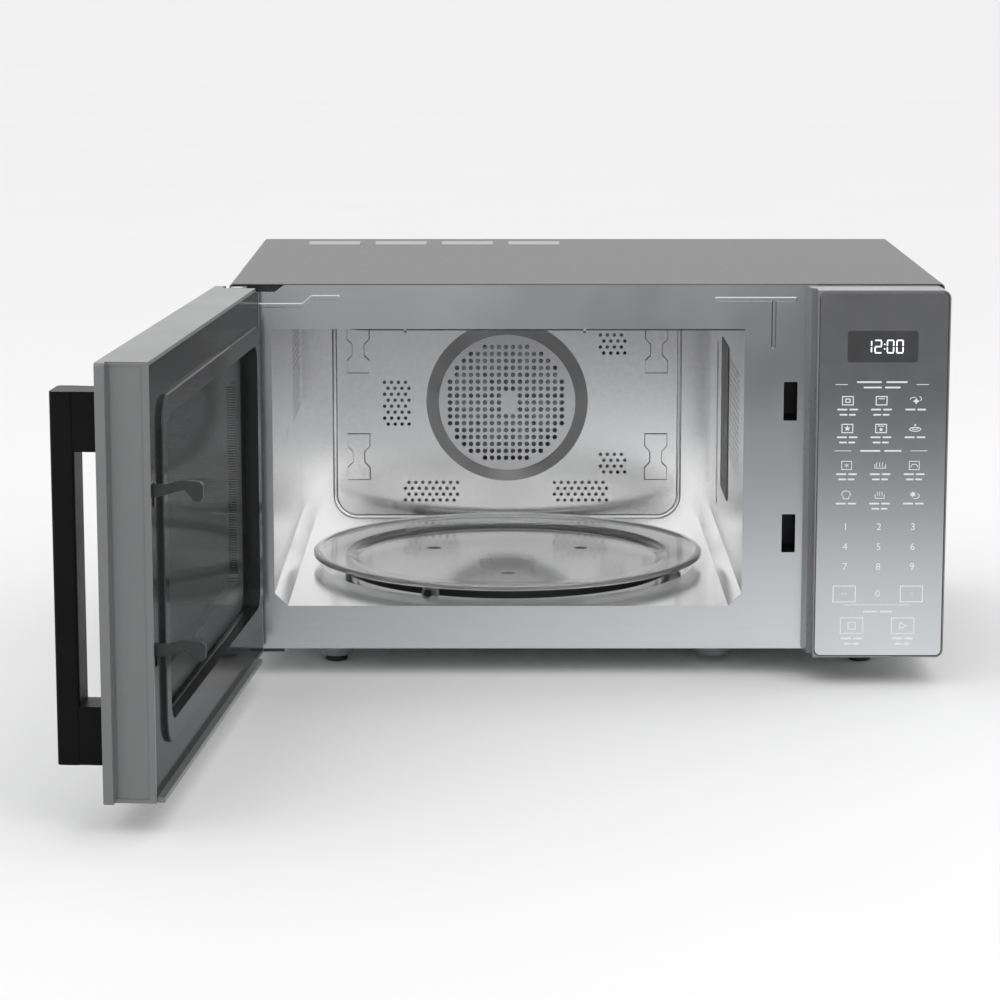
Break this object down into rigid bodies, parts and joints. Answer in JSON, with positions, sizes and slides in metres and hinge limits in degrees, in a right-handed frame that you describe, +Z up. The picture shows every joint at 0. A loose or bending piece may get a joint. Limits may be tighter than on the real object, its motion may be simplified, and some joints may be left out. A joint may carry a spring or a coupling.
{
  "type": "microwave oven",
  "caption": "Worktop microwave oven with a side-hinged door, glass turntable, convection fan grille and touch panel with clock.",
  "frame": {"origin": "on the worktop under the feet, mid-width, in the plane of the steel front frame's face", "axes": "+X to the user's right, +Y to the rear, +Z up; the door is stored open"},
  "size_m": [0.6118, 0.8571, 0.301],
  "materials": {
    "casing_paint": "satin grey powder coat",
    "plated_steel": "zinc-plated sheet",
    "satin_steel": "satin",
    "cavity_steel": "bright",
    "polished_steel": "polished",
    "foot_rubber": "matte",
    "screw_steel": "zinc plated",
    "black_plastic": "matte",
    "white_plastic": "matte",
    "clear_plastic": "translucent",
    "clear_glass": "clear",
    "plate_glass": "pressed",
    "white_print": "printed",
    "lit_segments": "lit",
    "display_window": "smoked",
    "lamp_glass": "clear",
    "mirror_glass": "silver mirror",
    "silver_plastic": "satin silver",
    "display_black": "gloss",
    "circuit_board": "satin",
    "heater_sheath": "heat-darkened",
    "motor_steel": "plain",
    "laminated_iron": "varnished",
    "aluminium_can": "plain",
    "mica": "dark mica sheet",
    "black_steel": "black coated",
    "door_paint": "satin grey",
    "grey_enamel": "gloss enamel",
    "gloss_black_plastic": "gloss",
    "screen_enamel": "black enamel, perforated",
    "handle_black": "satin",
    "latch_plastic": "matte",
    "spring_steel": "bright"
  },
  "bodies": {
    "cabinet": {"outer_wrapper": "casing_paint", "base_plate": "plated_steel", "rear_panel": "plated_steel", "front_frame": "satin_steel", "feet": "foot_rubber", "cabinet_screws": "screw_steel", "cord_inlet_bush": "black_plastic", "cavity_left_wall": "cavity_steel", "cavity_right_wall": "cavity_steel", "cavity_ceiling": "cavity_steel", "cavity_floor": "cavity_steel", "cavity_rear_wall": "cavity_steel", "fan_cover": "polished_steel", "convection_housing": "plated_steel", "convection_heater": "heater_sheath", "convection_motor": "motor_steel", "convection_rear_cover": "plated_steel", "grill_heater": "heater_sheath", "grill_holders": "plated_steel", "waveguide_cover": "mica", "waveguide": "plated_steel", "magnetron": "motor_steel", "high_voltage_transformer": "laminated_iron", "high_voltage_capacitor": "aluminium_can", "capacitor_clamp": "plated_steel", "high_voltage_diode": "black_plastic", "cooling_fan_shroud": "white_plastic", "cooling_fan_motor": "laminated_iron", "air_duct": "white_plastic", "oven_lamp": "lamp_glass", "thermal_cutouts": "black_plastic", "turntable_motor": "motor_steel", "interlock_bracket": "black_plastic", "interlock_switches": "black_plastic", "control_panel_housing": "silver_plastic", "control_panel_glass": "mirror_glass", "display_module": "display_black", "touch_board": "circuit_board", "control_board": "circuit_board", "filter_board": "circuit_board", "hinge_brackets": "black_steel", "hinge_pins": "screw_steel"},
    "door": {"door_frame": "door_paint", "door_outer_glass": "mirror_glass", "door_inner_frame": "grey_enamel", "door_choke_cover": "gloss_black_plastic", "door_screen": "screen_enamel", "door_inner_glass": "clear_glass", "door_handle": "handle_black", "handle_screws": "screw_steel", "latch_spring": "spring_steel"},
    "latch": {"door_latch": "latch_plastic"},
    "turntable": {"turntable_coupler": "clear_plastic"},
    "plate": {"turntable_plate": "plate_glass"},
    "ring": {"roller_ring": "black_plastic"},
    "roller_1": {"roller_1": "clear_plastic"},
    "roller_2": {"roller_2": "clear_plastic"},
    "roller_3": {"roller_3": "clear_plastic"},
    "cooling_fan": {"cooling_fan_blade": "white_plastic"},
    "hot_air_fan": {"convection_fan": "plated_steel"}
  },
  "joints": [
    {"name": "door_hinge", "type": "hinge", "parent": "cabinet", "child": "door", "pos_m": [-0.2597, -0.0201, 0.16], "axis": [0, 0, 1], "range_deg": [-15, 94.75]},
    {"name": "latch_slide", "type": "slide", "parent": "door", "child": "latch", "axis": [0, 0, -1], "range_m": [0, 0.005], "stiffness_N_per_m": 300, "springref_m": -0.005, "deforming": ["latch_spring"]},
    {"name": "turntable_spin", "type": "hinge", "parent": "cabinet", "child": "turntable", "pos_m": [-0.059, 0.174, 0.046], "axis": [0, 0, 1], "continuous": true},
    {"name": "plate_lift", "type": "slide", "parent": "turntable", "child": "plate", "axis": [0, 0, 1], "range_m": [0, 0.02]},
    {"name": "ring_spin", "type": "hinge", "parent": "cabinet", "child": "ring", "pos_m": [-0.059, 0.174, 0.05], "axis": [0, 0, 1], "continuous": true},
    {"name": "roller_1_spin", "type": "hinge", "parent": "ring", "child": "roller_1", "pos_m": [-0.11915, 0.05069, 0.0528], "axis": [-0.4384, -0.8988, 0], "continuous": true},
    {"name": "roller_2_spin", "type": "hinge", "parent": "ring", "child": "roller_2", "pos_m": [0.07787, 0.18357, 0.0528], "axis": [0.9976, 0.0698, 0], "continuous": true},
    {"name": "roller_3_spin", "type": "hinge", "parent": "ring", "child": "roller_3", "pos_m": [-0.13572, 0.28774, 0.0528], "axis": [-0.5592, 0.829, 0], "continuous": true},
    {"name": "cooling_fan_spin", "type": "hinge", "parent": "cabinet", "child": "cooling_fan", "pos_m": [0.1813, 0.311, 0.199], "axis": [0, 1, 0], "continuous": true},
    {"name": "hot_air_fan_spin", "type": "hinge", "parent": "cabinet", "child": "hot_air_fan", "pos_m": [-0.059, 0.36, 0.1608], "axis": [0, 1, 0], "continuous": true}
  ],
  "couplings": [
    {"joint": "ring_spin", "follows": "turntable_spin", "ratio": 0.5},
    {"joint": "roller_1_spin", "follows": "turntable_spin", "ratio": -10.394},
    {"joint": "roller_2_spin", "follows": "turntable_spin", "ratio": -10.394},
    {"joint": "roller_3_spin", "follows": "turntable_spin", "ratio": -10.394}
  ]
}
